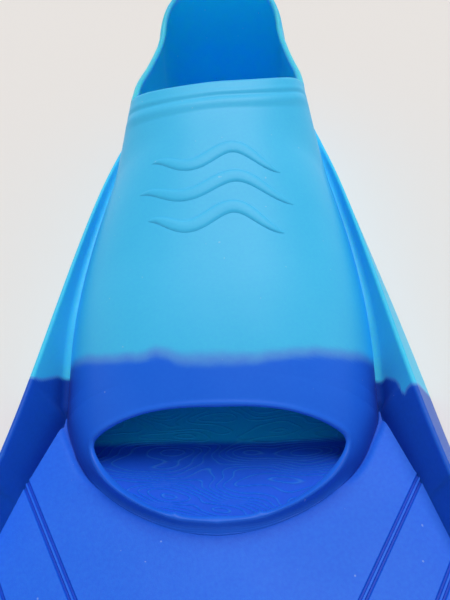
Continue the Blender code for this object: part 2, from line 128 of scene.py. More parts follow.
panel_top = smooth((-195, 4.6), (-148, 6.0), (-100, 7.6), (-85, 8.0), (-31, 8.0))
panel_bot = smooth((-195, 1.8), (-148, 2.2), (-100, 2.5))


def toe_half(y):
    return 51.3 + (TOE_HALF_W - 51.3) * step(-43, -29, y)


def pocket_w(y):
    y = np.asarray(y, float)
    u = np.clip((APEX_Y - y) / (APEX_Y - TOE_FRONT_Y), 0, 1)
    front = toe_half(y) * (1 - u ** 1.8) ** (1 / 1.8)
    v = np.clip((y - HEEL_CAP_Y) / (HALF_LENGTH - HEEL_CAP_Y), 0, 1)
    heel = side_w(HEEL_CAP_Y) * (1 - v ** 2.3) ** (1 / 2.3)
    out = np.where(y < APEX_Y, front, np.where(y > HEEL_CAP_Y, heel, side_w(y)))
    return out if out.ndim else float(out)


def section(y):
    """Exponents of the upper's cross section: flat on top, sides leaning in,
    and squarer towards the collar."""
    k = step(55, 92, y)
    return 2.6 + 0.4 * k, 1.3 + 1.7 * k


def dome_w(y):
    """Half width of the upper's wall at its foot, inside the valley strip."""
    y = np.asarray(y, float)
    return pocket_w(y) - 1.0 * step(-44, -30, y) * (1 - 0.4 * step(20, 80, y))


def arch_point(y, a):
    p, q = section(y)
    c, s = np.cos(a), np.maximum(0.0, np.sin(a))
    x = dome_w(y) * np.sign(c) * np.abs(c) ** (2 / p)
    z = valley_z(y) + (upper_z(y) - valley_z(y)) * s ** (2 / q)
    return np.stack(np.broadcast_arrays(x, y, z), -1)


# --------------------------------------------------------------- mesh helpers
def tones_default(co):
    return np.zeros(len(co))


def make(name, verts, faces, tone, body, nodes=(), angle=38, bend=None, merge=0.004, painted_shade_and_bounce=None):
    """One closed piece from millimetre points.  tone gives 0 for the light
    rubber and 1 for the dark, at every point; painted_shade_and_bounce is 1 on inner
    surfaces and 0 to 1 in creases, where painted shade and bounce light tint the colour."""
    co = np.asarray(verts, float).reshape(-1, 3)
    me = bpy.data.meshes.new(name)
    me.from_pydata((co * MM).tolist(), [], [tuple(int(i) for i in f) for f in faces])
    dp = me.attributes.new("painted_shade_and_bounce", "FLOAT", "POINT")
    dp.data.foreach_set("value", (np.zeros(len(co)) if painted_shade_and_bounce is None else np.asarray(painted_shade_and_bounce, float).reshape(-1)).astype(np.float32))
    bm = bmesh.new()
    bm.from_mesh(me)
    bmesh.ops.remove_doubles(bm, verts=bm.verts, dist=merge * MM)
    bmesh.ops.dissolve_degenerate(bm, edges=bm.edges, dist=0.0005 * MM)
    bmesh.ops.delete(bm, geom=[v for v in bm.verts if not v.link_faces], context="VERTS")
    bmesh.ops.recalc_face_normals(bm, faces=bm.faces)
    bm.to_mesh(me)
    bm.free()
    n = len(me.vertices)
    flat = np.empty(n * 3, np.float32)
    me.vertices.foreach_get("co", flat)
    co = flat.reshape(-1, 3).astype(float) / MM
    at = me.attributes.new("tone", "FLOAT", "POINT")
    at.data.foreach_set("value", np.clip(tone(co), 0, 1).astype(np.float32))
    me.shade_smooth()
    me.set_sharp_from_angle(angle=math.radians(angle))
    ob = bpy.data.objects.new(name, me)
    bpy.context.scene.collection.objects.link(ob)
    if bend:
        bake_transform(ob)
    else:
        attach(ob, body)
    if nodes:
        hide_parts(*nodes)
    return ob


def grid_faces(R, C, wrap_r, wrap_c, base=0):
    out = []
    for i in range(R if wrap_r else R - 1):
        i2 = (i + 1) % R
        for j in range(C if wrap_c else C - 1):
            j2 = (j + 1) % C
            out.append((base + i * C + j, base + i * C + j2, base + i2 * C + j2, base + i2 * C + j))
    return out


def normals_of(g, wrap_c=False):
    """Unit normals of a grid of points (sign not settled)."""
    du = np.empty_like(g)
    du[1:-1] = g[2:] - g[:-2]
    du[0] = g[1] - g[0]
    du[-1] = g[-1] - g[-2]
    if wrap_c:
        dv = np.roll(g, -1, 1) - np.roll(g, 1, 1)
    else:
        dv = np.empty_like(g)
        dv[:, 1:-1] = g[:, 2:] - g[:, :-2]
        dv[:, 0] = g[:, 1] - g[:, 0]
        dv[:, -1] = g[:, -1] - g[:, -2]
    n = np.cross(du, dv)
    n /= np.maximum(np.linalg.norm(n, axis=-1, keepdims=True), 1e-9)
    return n


def rim_rows(outer, inner, tangent, k=6):
    """Rows that round the edge from an outer row over to an inner row."""
    mid = (outer + inner) / 2
    half = (outer - inner) / 2
    r = np.linalg.norm(half, axis=-1, keepdims=True)
    t = tangent / np.maximum(np.linalg.norm(tangent, axis=-1, keepdims=True), 1e-9)
    return [mid + half * math.cos(math.pi * i / k) + t * r * math.sin(math.pi * i / k) for i in range(1, k)]


# ------------------------------------------------------ where the two colours meet
BORDER = smooth((-54, -14.2), (-50, -16.0), (-42, -19.7), (-34, -22.7), (-27, -24.3), (-22, -24.8), (-19, -24.0),
                (-14.5, -25.4), (-11.5, -26.8), (-7, -27.2), (0, -27.4), (11, -27.3), (26, -24.4), (39.6, -21.2),
                (47, -18.6), (54, -15.2))


def upper_border(x):
    """Y of the colour border across the upper."""
    return BORDER(x) + 0.12 * np.sin(x * 0.83) + 0.1 * np.sin(x * 0.41 + 1)


def upper_tone(co):
    x, y, z = co.T
    width = 2.4 + 0.9 * np.exp(-((x + 1) / 14) ** 2)
    return 1 - step(-1, 1, (y - upper_border(x)) / width)


LEFT_IN = smooth((0, -18), (0.26, -19.1), (0.54, -22), (0.82, -25.3), (1, -26.6))
RIGHT_IN = smooth((0, -21.3), (0.24, -22.2), (0.53, -25.5), (0.64, -28.5), (0.72, -32), (0.82, -31.4), (1, -31.9))


def rail_tone(co):
    x, y, z = co.T
    ax = np.abs(x)
    zf = np.maximum(valley_z(y), 8.0)
    f = np.clip((z - zf) / (ridge_z(y) - zf), 0, 1)
    inner = np.where(x > 0, RIGHT_IN(f), LEFT_IN(f))
    out = np.where(x > 0, -31.9, -26.6) + 13.0 * np.clip(1 - z / ridge_z(y), 0, 1)
    border = np.where(ax > ridge_x(y) - 0.3, out, inner) + 0.15 * np.sin(z * 0.9 + x)
    return 1 - step(-1, 1, (y - border) / 0.7)


def sole_tone(co):
    x, y, z = co.T
    return 1 - step(-1, 1, (y + 38.0 + 0.3 * np.sin(x * 0.11)) / 1.5)


def dark(co):
    return np.ones(len(co))


def light(co):
    return np.zeros(len(co))


# ------------------------------------------------------------------ the upper
A_N = 110
ANG = np.pi * (0.5 - 0.5 * np.cos(np.pi * np.linspace(0, 1, A_N))) * 0.35 + np.pi * np.linspace(0, 1, A_N) * 0.65


def shear(x):
    """The soft collar leans a little: forward on the left, back on the right."""
    return np.where(x < 0, 0.10 * x, 2.4 * (np.abs(x) / 38.0) ** 3)


def arch_row(y, base=3.0, sweep=0.0):
    s = np.sin(ANG)
    g = np.where(s > 0.42, 1 - ((np.clip(s, 0.42, 1) - 0.42) / 0.58) ** 1.25, 1.0)
    yy = y + sweep * (COLLAR_SWEEP * g + shear(arch_point(y, ANG)[:, 0]))
    p = arch_point(yy, ANG)
    ts = np.linspace(0, 1, 7)[:-1]
    lo = np.array([(p[0, 0], yy[0], base + (p[0, 2] - base) * t) for t in ts])
    hi = np.array([(p[-1, 0], yy[-1], base + (p[-1, 2] - base) * t) for t in ts[::-1]])
    return np.vstack([lo, p, hi])


def band_lift(d):
    """Height of the collar band at distance d below the collar's edge."""
    up = 0.55 * (1 - step(12.6, 15.4, d))
    groove = 0.42 * np.exp(-((d - 9.0) / 1.0) ** 2)
    ridge = 0.14 * np.exp(-((d - 7.0) / 1.0) ** 2) + 0.18 * np.exp(-((d - 11.8) / 1.0) ** 2)
    return up - groove + ridge


EDGE_Y = COLLAR_Y - 2.9
ROWS_Y = np.concatenate([np.linspace(SPLIT_Y, 55, 90)[:-1], np.linspace(55, EDGE_Y, 76)])
rows = [arch_row(y, sweep=float(np.clip((y - 20) / (COLLAR_Y - 14 - 20), 0, 1) ** 1.5)) for y in ROWS_Y]
G = np.array(rows)
N = normals_of(G)
ctr = np.zeros_like(G)
ctr[..., 1] = G[..., 1]
ctr[..., 2] = 20
N *= np.sign(np.sum(N * (G - ctr), -1, keepdims=True))
arch_mask = np.zeros(G.shape[1])
arch_mask[6:-6] = step(0.28, 0.72, np.sin(ANG))
lift = band_lift(COLLAR_Y - ROWS_Y)[:, None] * arch_mask[None, :]
OUT = G + N * lift[..., None]
INN = G - N * WALL
INN[:, :6, 2] = G[:, :6, 2]
INN[:, -6:, 2] = G[:, -6:, 2]
rim = rim_rows(OUT[-1], INN[-1], OUT[-1] - OUT[-2])
seq = np.array(list(OUT) + rim + list(INN[::-1]))
R, C = seq.shape[:2]
faces = grid_faces(R, C, True, False)
n_out, n_rim = len(OUT), len(rim)
for c in (0, C - 1):
    for i in range(n_out - 1):
        faces.append((i * C + c, (i + 1) * C + c, (R - 2 - i) * C + c, (R - 1 - i) * C + c))
    faces.append(tuple([(n_out - 1) * C + c] + [(n_out + k) * C + c for k in range(n_rim)] + [(n_out + n_rim) * C + c]))
# painted shade and bounce light on the inner surfaces: they take the shaded inside colour
painted_shade_and_bounce = np.zeros(seq.shape[:2])
painted_shade_and_bounce[n_out + n_rim:] = 1
# painted shade: the colour is darkened low on the sides, down in the crease beside the rails
painted_shade_and_bounce[:n_out] = 0.9 * np.exp(-(np.maximum(OUT[..., 2] - valley_z(OUT[..., 1]), 0) / 7.0) ** 2)
upper = make("instep_upper_and_collar", seq, faces, upper_tone, "foot_pocket", ("instep_upper", "collar_band"),
             painted_shade_and_bounce=painted_shade_and_bounce)

# --------------------------------------------------------- toe cap with its mouth
# half outline seen from above, from the side corner round to the middle
ROOF = [(39.5, -44.7), (39.1, -43.6), (37.4, -42.9), (33, -42.1), (28, -41.5), (20, -40.9), (10, -40.6), (0, -40.5)]
LIP = [(39.5, -44.7), (38.9, -46.4), (36.7, -49.6), (33.2, -53.2), (27, -57.9), (19.2, -62.0), (9.6, -65.1), (0, -66.0)]


def along(pts):
    pts = np.array(pts, float)
    d = np.concatenate([[0], np.cumsum(np.linalg.norm(np.diff(pts, axis=0), axis=1))])
    d /= d[-1]
    return smooth(*zip(d, pts[:, 0])), smooth(*zip(d, pts[:, 1]))


ROOF_X, ROOF_Y = along(ROOF)
LIP_X, LIP_Y = along(LIP)


def surface_z(x, y, w=None):
    p, q = section(y)
    w = dome_w(y) if w is None else w
    f = np.clip(1 - (np.abs(x) / np.maximum(w, 0.01)) ** p, 0, 1) ** (1 / q)
    return valley_z(y) + (upper_z(y) - valley_z(y)) * f


def mouth(t):
    """t 0 right corner, 0.25 middle of the roof, 0.5 left corner, 0.75 middle
    of the lower lip."""
    t = np.asarray(t, float) % 1.0
    top = t < 0.5
    u = np.where(top, t / 0.5, (t - 0.5) / 0.5)
    h = np.clip(1 - np.abs(2 * u - 1), 0, 1)
    sgn = np.where(top, np.where(u < 0.5, 1, -1), np.where(u < 0.5, -1, 1))
    x = sgn * np.where(top, ROOF_X(h), LIP_X(h))
    y = np.where(top, ROOF_Y(h), LIP_Y(h))
    return np.stack([x, y, surface_z(x, y)], -1)


def on_dome(p):
    x, y, z = p[..., 0], p[..., 1], p[..., 2]
    w, zb, zt = np.maximum(dome_w(y), 0.01), valley_z(y), upper_z(y)
    p_, q_ = section(y)
    high = np.maximum(z - zb, 0)
    lo, hi = np.full_like(x, 1e-3), np.full_like(x, 8.0)
    for _ in range(40):
        r = np.sqrt(lo * hi)
        big = (np.abs(x) / (w * r)) ** p_ + (high / ((zt - zb) * r)) ** q_ > 1
        lo, hi = np.where(big, r, lo), np.where(big, hi, r)
    r = np.sqrt(lo * hi)
    up = z > zb
    xx = np.where(up, x / np.maximum(r, 1e-6), np.sign(x) * w)
    zz = np.where(up, zb + high / np.maximum(r, 1e-6), z)
    return np.stack([xx, y, zz], -1)


first = G[0][6:-6]
n_top = len(first)
n_low = 150
lowt = np.linspace(0, 1, n_low + 2)[1:-1]
a = np.pi * (1 - np.abs(2 * lowt - 1)) / 2
yl = SPLIT_Y + (TOE_FRONT_Y - SPLIT_Y) * np.sin(a)
xl = np.where(lowt < 0.5, -1, 1) * dome_w(yl)
low = np.stack([xl, yl, valley_z(yl)], -1)
O = np.vstack([first, low])
t_top = 0.5 * np.linspace(0, 1, n_top)
t_low = 0.5 + 0.5 * lowt
tt = np.concatenate([t_top, t_low])
M = mouth(tt)
# the outer surface starts a little outside the opening's own edge
M = np.stack([M[:, 0] * 1.036, np.where(M[:, 1] < -44.7, -44.7 + (M[:, 1] + 44.7) * 1.06, -44.7 + (M[:, 1] + 44.7) * 1.24), M[:, 2]], -1)
M[:, 2] = surface_z(M[:, 0], M[:, 1])
R_T = 48
rows = [M]
for r in range(1, R_T):
    s = (r / R_T) ** 1.15
    q = M + (O - M) * s
    q[:, 2] += 2.0 * s * (1 - s)
    rows.append(on_dome(q))
rows.append(O)
T = np.array(rows)
NT = normals_of(T, wrap_c=True)
ctr = np.stack([np.zeros(T.shape[:2]), np.clip(T[..., 1], -45, 0), np.full(T.shape[:2], 2.0)], -1)
NT *= np.where(np.sum(NT * (T - ctr), -1, keepdims=True) < 0, -1.0, 1.0)


def gap_to(points, curve):
    """Shortest distance from every point to a closed curve."""
    flat = points.reshape(-1, 3)
    out = np.empty(len(flat))
    for i in range(0, len(flat), 2000):
        out[i:i + 2000] = np.sqrt(((flat[i:i + 2000, None] - curve[None]) ** 2).sum(-1)).min(1)
    return out.reshape(points.shape[:-1])


def lip_blend(y):
    return 1.0 * step(-49, -58, y)


def fillet(rise, k):
    """Height over the blade where a slope (rise above or below it) runs out
    into it in a soft fillet."""
    return np.where(k > 0, (rise + np.sqrt(rise ** 2 + k ** 2)) / 2, rise)


# a fine bead follows the opening, and a broader raised roll runs along the lower lip
dist = gap_to(T, M)
low_side = step(0.0, 0.55, -np.sin(2 * np.pi * tt))
bead = 0.22 * np.exp(-((dist - 0.6) / 0.7) ** 2)
bead = bead + 1.8 * low_side[None, :] * np.exp(-(dist / 2.2) ** 2)
TO = T + NT * bead[..., None]
# the lip runs out into the blade in a soft slope, ahead of the sides
rim_d = gap_to(T, low)
kb = lip_blend(T[..., 1])
near = (1 - step(0.8, 4.2, rim_d)) * np.clip(kb, 0, 1)
rise = (TO[..., 2] - 8.0) * (1 - near) + 0.7 * rim_d * near
TO[..., 2] = 8.0 + fillet(rise, kb)
thick = (2.6 - 0.5 * low_side)[None, :] * (0.55 + 0.45 * step(0.0, 5.0, dist))
TI = T - NT * thick[..., None]
TI[-1, :n_top] = INN[0][6:-6]
TI[..., 2] = np.maximum(TI[..., 2], 5.0)
# skirts that go down behind the blade panel and the rails' strips
side_n = np.roll(O, -1, 0) - np.roll(O, 1, 0)
side_n = np.stack([side_n[:, 1], -side_n[:, 0], np.zeros(len(O))], -1)
side_n /= np.maximum(np.linalg.norm(side_n, axis=-1, keepdims=True), 1e-9)
side_n *= np.where(np.sum(side_n[:, :2] * (O[:, :2] - np.array([0, -35])), -1, keepdims=True) < 0, -1.0, 1.0)
is_low = (np.arange(len(O)) >= n_top)[:, None]
skirt_o, skirt_i = [], []
for k in (0.25, 0.6, 1.0):
    o = TO[-1].copy()
    o[:, 2] = o[:, 2] + (3.0 - o[:, 2]) * k
    skirt_o.append(np.where(is_low, o, TO[-1]))
    i_ = O - side_n * 2.6
    i_[:, 2] = 5.0 + (3.0 - 5.0) * k
    skirt_i.append(np.where(is_low, i_, TI[-1]))
rim = rim_rows(TO[0], TI[0], TO[0] - TO[1])
seq = np.array(skirt_i[::-1] + list(TI[::-1]) + rim[::-1] + list(TO) + skirt_o)
R, C = seq.shape[:2]
faces = grid_faces(R, C, True, True)
# painted shade and bounce light on the inner surfaces: they take the shaded inside colour
painted_shade_and_bounce = np.zeros((R, C))
painted_shade_and_bounce[:len(skirt_i) + len(TI)] = 1
# painted shade: the colour is darkened in the crease along the cap's foot and on the lip's slope
foot = np.clip(0.9 * np.exp(-(rim_d / 7.0) ** 2) * (1 - 0.65 * kb) + 0.15 * kb * step(1.5, 4.0, dist), 0, 1)
painted_shade_and_bounce[-len(skirt_o) - len(TO):-len(skirt_o)] = foot
painted_shade_and_bounce[-len(skirt_o):] = foot[-1]
toe = make("toe_cap_and_lip", seq, faces, upper_tone, "foot_pocket", ("toe_cap",), painted_shade_and_bounce=painted_shade_and_bounce)


# ------------------------------------------------------------------- heel cup
def heel_point(u, h, start, z_low=0.0, drop=0.0):
    """u 1 at the collar, 0 at the back; h 0 at the sole, 1 at the rim."""
    u, h = np.broadcast_arrays(np.asarray(u, float), np.asarray(h, float))
    y1 = HEEL_CAP_Y - (u - 0.5) / 0.5 * (HEEL_CAP_Y - start)
    wb, wr, zr = side_w(y1), rim_w(y1), rim_z(y1) - drop
    z1 = z_low + (zr - z_low) * h
    # next to the collar the wall follows the upper's own section
    p_, q_ = section(y1)
    k = step(94, 112, y1)
    zt, zb = upper_z(np.minimum(y1, 100)), valley_z(y1)
    sec = (side_w(y1) - 0.6 * (1 - k)) * np.clip(1 - (np.clip((z1 - zb) / (zt - zb), 0, 0.999)) ** q_, 0, 1) ** (1 / p_)
    f1 = np.clip((z1 - 40) / np.maximum(zr - 40, 1), 0, 1) ** 3
    own = wb + (wr - wb) * f1
    x1 = sec * (1 - k) + own * k
    a = np.clip(u, 0, 0.5) / 0.5 * np.pi / 2
    f = h ** 2.2
    half = side_w(HEEL_CAP_Y) + (rim_w(HEEL_CAP_Y) - side_w(HEEL_CAP_Y)) * np.clip((z_low + (rim_z(HEEL_CAP_Y) - drop - z_low) * h - 40) / (rim_z(HEEL_CAP_Y) - drop - 40), 0, 1) ** 3
    back = 192.3 + 2.7 * np.sin(np.pi * np.minimum(1.0, h / 0.62)) - 3.0 * f
    m = 2.3 + 0.4 * f
    x2 = half * np.sin(a) ** (2 / m)
    y2 = HEEL_CAP_Y + (back - HEEL_CAP_Y) * np.cos(a) ** (2 / m)
    z2 = z_low + (rim_z(y2) - drop - z_low) * h
    side = u > 0.5
    return np.stack([np.where(side, x1, x2), np.where(side, y1, y2), np.where(side, z1, z2)], -1)


nu, nh = ((56, 76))
us = np.concatenate([np.linspace(1, 0.5, nu), np.linspace(0.5, 0, nu)[1:]])
us = np.concatenate([us, -us[-2::-1]])
hs = np.linspace(0, 1, nh)
COLLAR_END = EDGE_Y + COLLAR_SWEEP + np.where(us > 0, shear(38.0), shear(-38.0))
H = np.array([heel_point(np.abs(us), h, COLLAR_END - 2.6) * np.stack([np.where(us < 0, -1, 1), np.ones_like(us), np.ones_like(us)], -1) for h in hs])
NH = normals_of(H)
ctr = np.stack([np.zeros(H.shape[:2]), np.clip(H[..., 1], 0, 155), H[..., 2]], -1)
NH *= np.where(np.sum(NH * (H - ctr), -1, keepdims=True) < 0, -1.0, 1.0)
# the first stretch runs inside the collar's own wall
tuck = 0.35 * (1 - step(-0.6, 1.4, H[..., 1] - COLLAR_END[None, :]))
NH[:, 0] = NH[:, 0] * np.array([1, 0, 1])
NH[:, -1] = NH[:, -1] * np.array([1, 0, 1])
NH /= np.maximum(np.linalg.norm(NH, axis=-1, keepdims=True), 1e-9)
# rounded foot of the heel, and a slightly rolled rim at the top
foot = np.clip(1 - H[..., 2] / 3.2, 0, 1)
HO = H - NH * (3.2 * (1 - np.sqrt(np.clip(1 - foot ** 2, 0, 1))))[..., None]
top = (rim_z(H[..., 1]) - H[..., 2])
roll = 0.25 * np.exp(-((top - 1.4) / 1.6) ** 2)
HO = HO + NH * (roll - tuck)[..., None]
HI = H - NH * (2.5 + 0.1 * np.exp(-((top - 1.4) / 1.6) ** 2))[..., None]
HI[0, :, 2] = HO[0, :, 2]
rim = rim_rows(HO[-1], HI[-1], HO[-1] - HO[-2], 8)
seq = np.array(list(HO) + rim + list(HI[::-1]))
R, C = seq.shape[:2]
faces = grid_faces(R, C, True, False)
for c in (0, C - 1):
    for i in range(nh - 1):
        faces.append((i * C + c, (i + 1) * C + c, (R - 2 - i) * C + c, (R - 1 - i) * C + c))
    faces.append(tuple([(nh - 1) * C + c] + [(nh + k) * C + c for k in range(len(rim))] + [(nh + len(rim)) * C + c]))
# painted bounce light and shade: the inner wall takes the brighter, more saturated inside colour, fading in below the
# rim
painted_shade_and_bounce = np.zeros((R, C))
painted_shade_and_bounce[nh + len(rim):] = step(0.4, 2.2, top[::-1])
heel = make("heel_cup_and_rim", seq, faces, light, "foot_pocket", ("heel_cup", "ankle_rim"), painted_shade_and_bounce=painted_shade_and_bounce)


# ------------------------------------------------- footbed, with its fine relief
def hills(x, y):
    """A smooth random landscape, for the contour-line relief."""
    rng = np.random.default_rng(7)
    h = np.zeros_like(x)
    for k in range(26):
        wl = 6 + 26 * rng.random()
        th = rng.random() * 2 * np.pi
        ph = rng.random() * 2 * np.pi
        amp = (wl / 30) ** 1.1
        h += amp * np.sin(2 * np.pi / wl * (x * np.cos(th) * 0.42 + y * np.sin(th) * 1.45) + ph)
    return h


def relief(x, y):
    """Raised contour lines, 0 to 1."""
    h = hills(x, y) * 1.0
    e = 0.05
    gx = (hills(x + e, y) - hills(x - e, y)) * 1.0 / (2 * e)
    gy = (hills(x, y + e) - hills(x, y - e)) * 1.0 / (2 * e)
    slope = np.hypot(gx, gy)
    d = np.abs((h + 0.5) % 1.0 - 0.5) / np.maximum(slope, 0.45)
    return np.exp(-(d / 0.145) ** 2) * (1 - 0.8 * step(1.1, 1.8, slope))


def lines_at(co):
    """The contour lines again, for the slightly lighter colour along them."""
    return relief(co[:, 0], co[:, 1]) * (co[:, 2] > 3)


def footbed(name, y0, y1, ny, nx, nodes, lift, tread):
    ys = np.linspace(y0, y1, ny)
    c = np.linspace(-1, 1, nx)
    v = np.clip((ys - HEEL_CAP_Y) / 32.3, 0, 1)
    inner = np.where(ys < HEEL_CAP_Y, pocket_w(ys) - 1.6, side_w(HEEL_CAP_Y) * (1 - v ** 2.3) ** (1 / 2.3) - 1.6)
    inner = np.maximum(inner, 0.6)
    X = c[None, :] * inner[:, None]
    Y = np.repeat(ys[:, None], nx, 1)
    edge = (1 - np.abs(c))[None, :] * inner[:, None]
    fade = step(0.5, 3.5, edge)
    Z = SOLE_TOP + lift * relief(X, Y) * fade
    # the footbed dips a little in the middle and turns up at the wall
    Z += 1.6 * np.exp(-edge / 3.0)
    Z -= 0.5 * (1 - (c[None, :]) ** 2)
    bx = np.linspace(-1, 1, nx)
    Zb = np.zeros_like(Z) + (0.0 if tread is None else tread(X, Y))
    top = np.stack([X, Y, Z], -1)
    # the lower edge stays inside the rounded foot of the walls
    tuck_in = 2.6 * step(60, 110, Y)
    bot = np.stack([X * np.maximum(inner[:, None] - tuck_in, 0.3) / inner[:, None], Y - 2.6 * step(170, 190.4, Y), Zb], -1)
    verts = np.vstack([top.reshape(-1, 3), bot.reshape(-1, 3)])
    n = ny * nx
    faces = grid_faces(ny, nx, False, False)
    if tread is None:
        faces.append(tuple([n + j for j in range(nx)] + [n + i * nx + nx - 1 for i in range(1, ny)]
                           + [n + (ny - 1) * nx + j for j in range(nx - 2, -1, -1)] + [n + i * nx for i in range(ny - 2, 0, -1)]))
    else:
        faces += grid_faces(ny, nx, False, False, n)
    for j in range(nx - 1):
        faces.append((j, j + 1, n + j + 1, n + j))
        faces.append(((ny - 1) * nx + j, (ny - 1) * nx + j + 1, n + (ny - 1) * nx + j + 1, n + (ny - 1) * nx + j))
    for i in range(ny - 1):
        faces.append((i * nx, (i + 1) * nx, n + (i + 1) * nx, n + i * nx))
        faces.append((i * nx + nx - 1, (i + 1) * nx + nx - 1, n + (i + 1) * nx + nx - 1, n + i * nx + nx - 1))
    lines = np.concatenate([(relief(X, Y) * fade).reshape(-1), np.zeros(n)])
    t_ = sole_tone(verts)
    # painted shade and bounce light: the whole top face takes the inside colour, a little less along the contour lines
    painted_shade_and_bounce = np.concatenate([np.ones(n), np.zeros(n)]) - (0.08 + 0.32 * t_) * lines
    return make(name, verts, faces, lambda co: np.maximum(sole_tone(co) - 0.13 * lines_at(co), 0), "foot_pocket", nodes, painted_shade_and_bounce=painted_shade_and_bounce)


def sole_grip(X, Y):
    """Wavy grip bars under the ball of the foot and the heel, recessed between."""
    w = np.abs(((Y + 2.2 * np.sin(X * 0.16)) % 9.0) - 4.5)
    bars = step(1.4, 2.0, w)
    where = np.maximum(step(-34, -30, Y) * (1 - step(44, 48, Y)), step(112, 116, Y) * (1 - step(172, 176, Y)))
    inside = step(3.0, 5.0, pocket_w(Y) - np.abs(X) - 2.5)
    return 1.3 * bars * where * inside


q = 1
footbed("footbed_front_relief", -70.0, -20.0, 280 // q, 330 // q, ("footbed_front",), 0.17, None)
footbed("footbed_rear_relief", -20.0, 190.4, 330 // q, 130 // q, ("footbed_rear",), 0.10, sole_grip)


# ------------------------------------------------------------------- side rails
def rounded(points, radii, n, fill=None):
    """A closed outline with each corner replaced by a curve of n points, and
    fill[i] further points on the straight after corner i."""
    out, ends = [], []
    m = len(points)
    for i in range(m):
        p, a, b = points[i], points[i - 1], points[(i + 1) % m]
        va, vb = a - p, b - p
        la, lb = np.linalg.norm(va), np.linalg.norm(vb)
        r = min(radii[i], la * 0.49, lb * 0.49)
        s, e = p + va / max(la, 1e-9) * r, p + vb / max(lb, 1e-9) * r
        ends.append((s, e))
        out.append([(1 - t) ** 2 * s + 2 * t * (1 - t) * p + t * t * e for t in np.linspace(0, 1, n)])
    for i, k in enumerate(fill or ()):
        e, s = ends[i][1], ends[(i + 1) % m][0]
        out[i] += [e + (s - e) * t for t in np.linspace(0, 1, k + 2)[1:-1]]
    return np.array([q for part in out for q in part])


def rail_section(y, n=7):
    xr, zr, xo = ridge_x(y), ridge_z(y), base_x(y)
    w, zv = pocket_w(y), valley_z(y)
    k = float(step(-30.5, -27.0, y))            # 1 beside the pocket, 0 beside the panel
    hr = 0.62 - 0.15 * float(step(0, 60, y))
    if y < -173:
        # the blade's corner rounds off, and the rail sinks into the front edge
        xo = min(xo, TIP_HALF_W - 14.3 + math.sqrt(max(0.0, 196 - (y + 173) ** 2)))
        xr = min(xr, xo - 2.4)
    zr = zr - 1.3 * float(step(-172, -181, y))
    xr = xr - 0.35
    xf = k * (w + 0.9 - 0.4 * float(step(0, 60, y))) + (1 - k) * panel_x(y)
    zf = k * min(zv, zr - 0.35) + (1 - k) * (panel_top(y) - 0.25)
    if y > 94:
        zf = zr - 0.5
        xf = w + 0.25
    p4 = np.array([k * (w - 3.4) + (1 - k) * (panel_x(y) - 1.2), k * (zf + 0.3) + (1 - k) * (panel_top(y) - 1.2)])
    if y > 94:
        p4 = np.array([w - 0.9, zf - 0.2])
    xr = max(xr, xf + hr * 0.9)
    pts = [np.array([xo, 0.0]), np.array([xr + hr, zr + 0.1]), np.array([xr - hr, zr - 0.1]),
           np.array([xf, zf]), p4, np.array([p4[0], 0.0])]
    if y > 94:
        pts[2] = np.array([max(w + 0.3, xr - hr * 0.8), zr - 0.2])
    return rounded(pts, [0.9, 1.3, 1.5, 2.0 * k + 0.25, 0.2, 0.2], n, (12, 1, 24, 3, 2, 2))


def rail(name, ys, side, tone, nodes, bend=None):
    rings = []
    for y in ys:
        s = rail_section(float(y))
        rings.append(np.stack([side * s[:, 0], np.full(len(s), y), s[:, 1]], -1))
    g = np.array(rings)
    R, C = g.shape[:2]
    faces = grid_faces(R, C, False, True)
    faces.append(tuple(range(C)))
    faces.append(tuple((R - 1) * C + j for j in range(C)))
    x_, y_, z_ = np.abs(g[..., 0]), g[..., 1], g[..., 2]
    low_ = np.maximum(z_ - valley_z(y_), 0)
    # painted shade: the colour is darkened low on the rails' inner walls, in the valley beside the pocket
    painted_shade_and_bounce = 0.8 * np.exp(-(low_ / 5.0) ** 2) * (x_ < ridge_x(y_) - 0.4) * step(-60, -45, y_)
    return make(name, g, faces, tone, "foot_pocket", nodes, bend=bend, angle=50, painted_shade_and_bounce=painted_shade_and_bounce)


d = 1.6
for side, tag in ((-1, "left"), (1, "right")):
    ys = np.concatenate([np.linspace(162, -8, int(170 / d)), np.linspace(-8, -46, int(38 / d * 2.6))[1:], np.linspace(-46, -60, int(14 / d) + 1)[1:]])
    rail("rail_" + tag + "_beside_pocket", ys, side, rail_tone, ("rail_rear_" + tag, "rail_front_" + tag))
    ys = np.linspace(-60, ROOT_BEND[1], int(63 / d))
    rail("rail_" + tag + "_blade_root", ys, side, dark, ("rail_mid_" + tag,),
         bend=("foot_pocket", "blade_middle", ROOT_BEND[0], ROOT_BEND[1]))
    ys = np.linspace(TIP_BEND[0], -181, int(70 / d))
    rail("rail_" + tag + "_blade_end", ys, side, dark, ("rail_tip_" + tag,),
         bend=("blade_middle", "blade_tip", TIP_BEND[0], TIP_BEND[1]))


# ------------------------------------------------------------- the blade panels
# Two chevron ribs a side, each a raised strip between two grooves.
RIBS = (((61.8, -53.0), (0.6, -147.0)), ((65.3, -78.5), (0.9, -177.0)))


def rib_distance(x, y, rib):
    (x0, y0), (x1, y1) = rib
    L = math.hypot(x1 - x0, y1 - y0)
    nx, ny = -(y1 - y0) / L, (x1 - x0) / L
    tx, ty = (x1 - x0) / L, (y1 - y0) / L
    ax = np.abs(x)
    return (ax - x0) * nx + (y - y0) * ny, (ax - x0) * tx + (y - y0) * ty, L


RIB_PROFILE = ((-1.3, 0.0), (-0.92, -0.42), (-0.5, -0.42), (-0.22, 0.05), (0.22, 0.05), (0.5, -0.42), (0.92, -0.42), (1.3, 0.0))


def rib_height(x, y):
    z = np.zeros_like(x)
    for rib in RIBS:
        dd, tt_, L = rib_distance(x, y, rib)
        z += np.interp(dd, [p[0] for p in RIB_PROFILE], [p[1] for p in RIB_PROFILE]) * (tt_ > -6) * (tt_ < L + 6)
    return z


